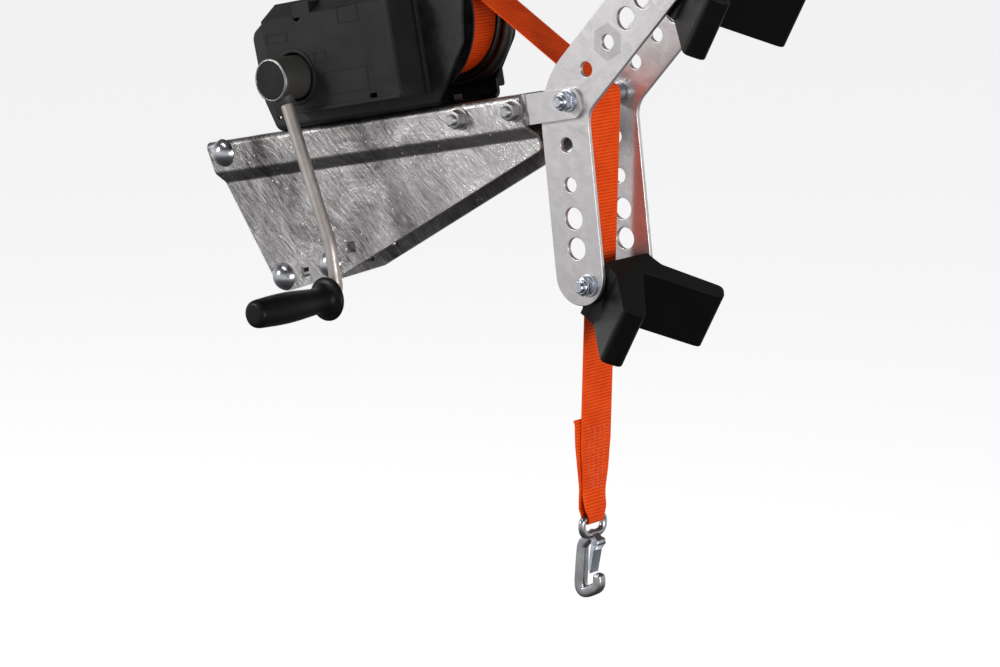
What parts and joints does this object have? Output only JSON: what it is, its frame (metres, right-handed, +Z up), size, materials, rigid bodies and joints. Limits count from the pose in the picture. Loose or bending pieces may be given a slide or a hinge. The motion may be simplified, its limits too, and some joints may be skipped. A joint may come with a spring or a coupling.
{
  "type": "boat trailer winch",
  "caption": "Hand-cranked geared webbing winch on a galvanised post bracket, with a tilting rubber bow stop, guide roller and snap hook.",
  "frame": {"origin": "centre of the pocket between the bracket's side plates, where the winch post passes", "axes": "+X towards the boat, +Y away from the crank handle's side, +Z up"},
  "size_m": [0.7673, 0.3271, 0.7159],
  "materials": {
    "galvanised": "hot-dip galvanised, spangled",
    "zinc_plate": "bright zinc plate",
    "black_steel": "semi-gloss black",
    "black_plastic": "matte moulded",
    "dark_metal": "dark phosphated steel",
    "bronze": "sintered bronze",
    "brake_lining": "pressed lining",
    "grip": "satin moulded",
    "pad_rubber": "smooth moulded",
    "webbing": "ribbed polyester weave",
    "hook_steel": "zinc-plated forging"
  },
  "bodies": {
    "root": {"side_plate_near": "galvanised", "side_plate_far": "galvanised", "link_plate_near": "galvanised", "link_plate_far": "galvanised", "clamp_bolt_top": "zinc_plate", "clamp_bolt_rear": "zinc_plate", "clamp_bolt_front": "zinc_plate", "clamp_nut_top": "zinc_plate", "clamp_nut_rear": "zinc_plate", "clamp_nut_front": "zinc_plate", "strip_bolt": "zinc_plate", "strip_nut": "zinc_plate", "link_bolt": "zinc_plate", "link_nut": "zinc_plate", "link_spacer": "zinc_plate", "winch_frame": "black_steel", "base_bolt_1": "zinc_plate", "base_bolt_2": "zinc_plate", "base_bolt_3": "zinc_plate", "base_bolt_4": "zinc_plate", "gear_cover": "black_plastic", "far_cover": "black_plastic", "drum_axle": "zinc_plate", "drum_axle_nut": "zinc_plate", "layshaft_bush": "bronze", "crank_bush": "bronze", "pawl_pin": "dark_metal", "strap_lead": "webbing", "elbow_bolt": "zinc_plate", "elbow_nut": "zinc_plate", "roller_sleeve": "zinc_plate"},
    "drum": {"drum_hub": "black_steel", "drum_core": "black_steel", "drum_flange_near": "black_steel", "drum_flange_far": "black_steel", "drum_gear": "dark_metal", "webbing_roll": "webbing"},
    "layshaft": {"layshaft": "dark_metal", "intermediate_gear": "dark_metal"},
    "crank": {"crank_shaft": "dark_metal", "crank_hub": "dark_metal", "hub_cap": "black_plastic", "crank_arm": "zinc_plate", "brake_disc_inner": "brake_lining", "brake_disc_outer": "brake_lining"},
    "ratchet": {"ratchet_wheel": "dark_metal"},
    "pawl": {"pawl": "dark_metal"},
    "grip": {"grip": "grip"},
    "guide_roller": {"guide_roller": "zinc_plate"},
    "bow_stop": {"arm_near": "galvanised", "arm_far": "galvanised", "lower_pad_bolt": "zinc_plate", "lower_pad_nut": "zinc_plate", "upper_pad_bolt": "zinc_plate", "upper_pad_nut": "zinc_plate"},
    "lower_pad": {"lower_pad": "pad_rubber"},
    "upper_pad": {"upper_pad": "pad_rubber"},
    "hook": {"hook": "hook_steel"},
    "latch": {"hook_latch": "hook_steel"}
  },
  "joints": [
    {"name": "drum_spin", "type": "hinge", "parent": "root", "child": "drum", "pos_m": [0.18436, 0, 0.26363], "axis": [0, 1, 0], "continuous": true},
    {"name": "layshaft_spin", "type": "hinge", "parent": "root", "child": "layshaft", "pos_m": [0.11614, 0, 0.22582], "axis": [0, 1, 0], "continuous": true},
    {"name": "crank_spin", "type": "hinge", "parent": "root", "child": "crank", "pos_m": [0.0571, 0, 0.19309], "axis": [0, 1, 0], "continuous": true},
    {"name": "ratchet_spin", "type": "hinge", "parent": "root", "child": "ratchet", "pos_m": [0.0571, 0, 0.19309], "axis": [0, 1, 0], "continuous": true},
    {"name": "pawl_lift", "type": "hinge", "parent": "root", "child": "pawl", "pos_m": [0.09429, 0, 0.2169], "axis": [0, 1, 0], "range_deg": [-9, 6], "stiffness_Nm_per_rad": 0.02},
    {"name": "grip_spin", "type": "hinge", "parent": "crank", "child": "grip", "pos_m": [0.14306, 0, -0.03794], "axis": [0, 1, 0], "continuous": true},
    {"name": "roller_spin", "type": "hinge", "parent": "root", "child": "guide_roller", "pos_m": [0.41421, 0, 0.19641], "axis": [0, 1, 0], "continuous": true},
    {"name": "bow_stop_tilt", "type": "hinge", "parent": "root", "child": "bow_stop", "pos_m": [0.41421, 0, 0.19641], "axis": [0, 1, 0], "range_deg": [-15, 0]},
    {"name": "lower_pad_tilt", "type": "hinge", "parent": "bow_stop", "child": "lower_pad", "pos_m": [0.44068, 0, 0.00274], "axis": [0, 1, 0], "range_deg": [-20, 0]},
    {"name": "upper_pad_tilt", "type": "hinge", "parent": "bow_stop", "child": "upper_pad", "pos_m": [0.54446, 0, 0.3319], "axis": [0, 1, 0], "range_deg": [-20, 6]},
    {"name": "hook_swing", "type": "hinge", "parent": "root", "child": "hook", "pos_m": [0.4124, 0, -0.26227], "axis": [0, 1, 0], "range_deg": [-45, 45]},
    {"name": "latch_open", "type": "hinge", "parent": "hook", "child": "latch", "pos_m": [0.4209, 0, -0.28827], "axis": [0, 1, 0], "range_deg": [0, 14], "stiffness_Nm_per_rad": 0.02, "springref_deg": -17.19}
  ],
  "couplings": [
    {"joint": "layshaft_spin", "follows": "drum_spin", "ratio": -3.3333},
    {"joint": "crank_spin", "follows": "drum_spin", "ratio": 9.5238}
  ]
}
